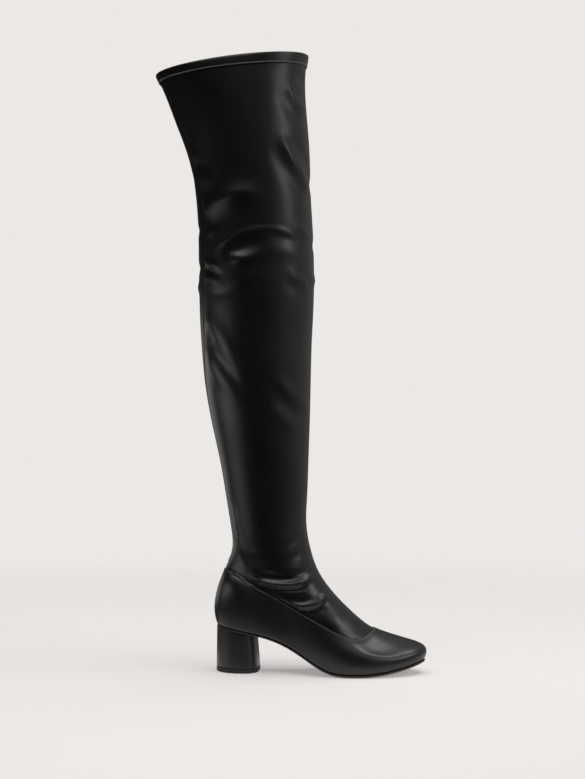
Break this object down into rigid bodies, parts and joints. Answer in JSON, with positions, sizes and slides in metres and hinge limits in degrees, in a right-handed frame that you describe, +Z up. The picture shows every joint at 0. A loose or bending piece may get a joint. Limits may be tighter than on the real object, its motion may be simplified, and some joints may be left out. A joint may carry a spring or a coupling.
{
  "type": "thigh high boot",
  "caption": "Thigh high pull-on stretch boot with a smooth leather foot, rounded almond toe, thin outsole and covered block heel; right foot.",
  "frame": {"origin": "centre of the heel's resting face on the floor", "axes": "+X towards the toe, +Z up along the leg, -Y towards the outer side of the foot"},
  "size_m": [0.304, 0.1142, 0.6866],
  "materials": {
    "calf_leather": "smooth black calf leather, semi-gloss",
    "stretch_leather": "smooth black stretch leather, semi-gloss",
    "insole_leather": "matt black lining leather",
    "sole_leather": "black waxed sole leather",
    "lift_rubber": "matt black rubber"
  },
  "bodies": {
    "root": {"upper": "calf_leather", "shaft": "stretch_leather", "collar_band": "stretch_leather", "insole": "insole_leather", "outsole": "sole_leather", "heel": "calf_leather", "top_lift": "lift_rubber"}
  },
  "joints": []
}
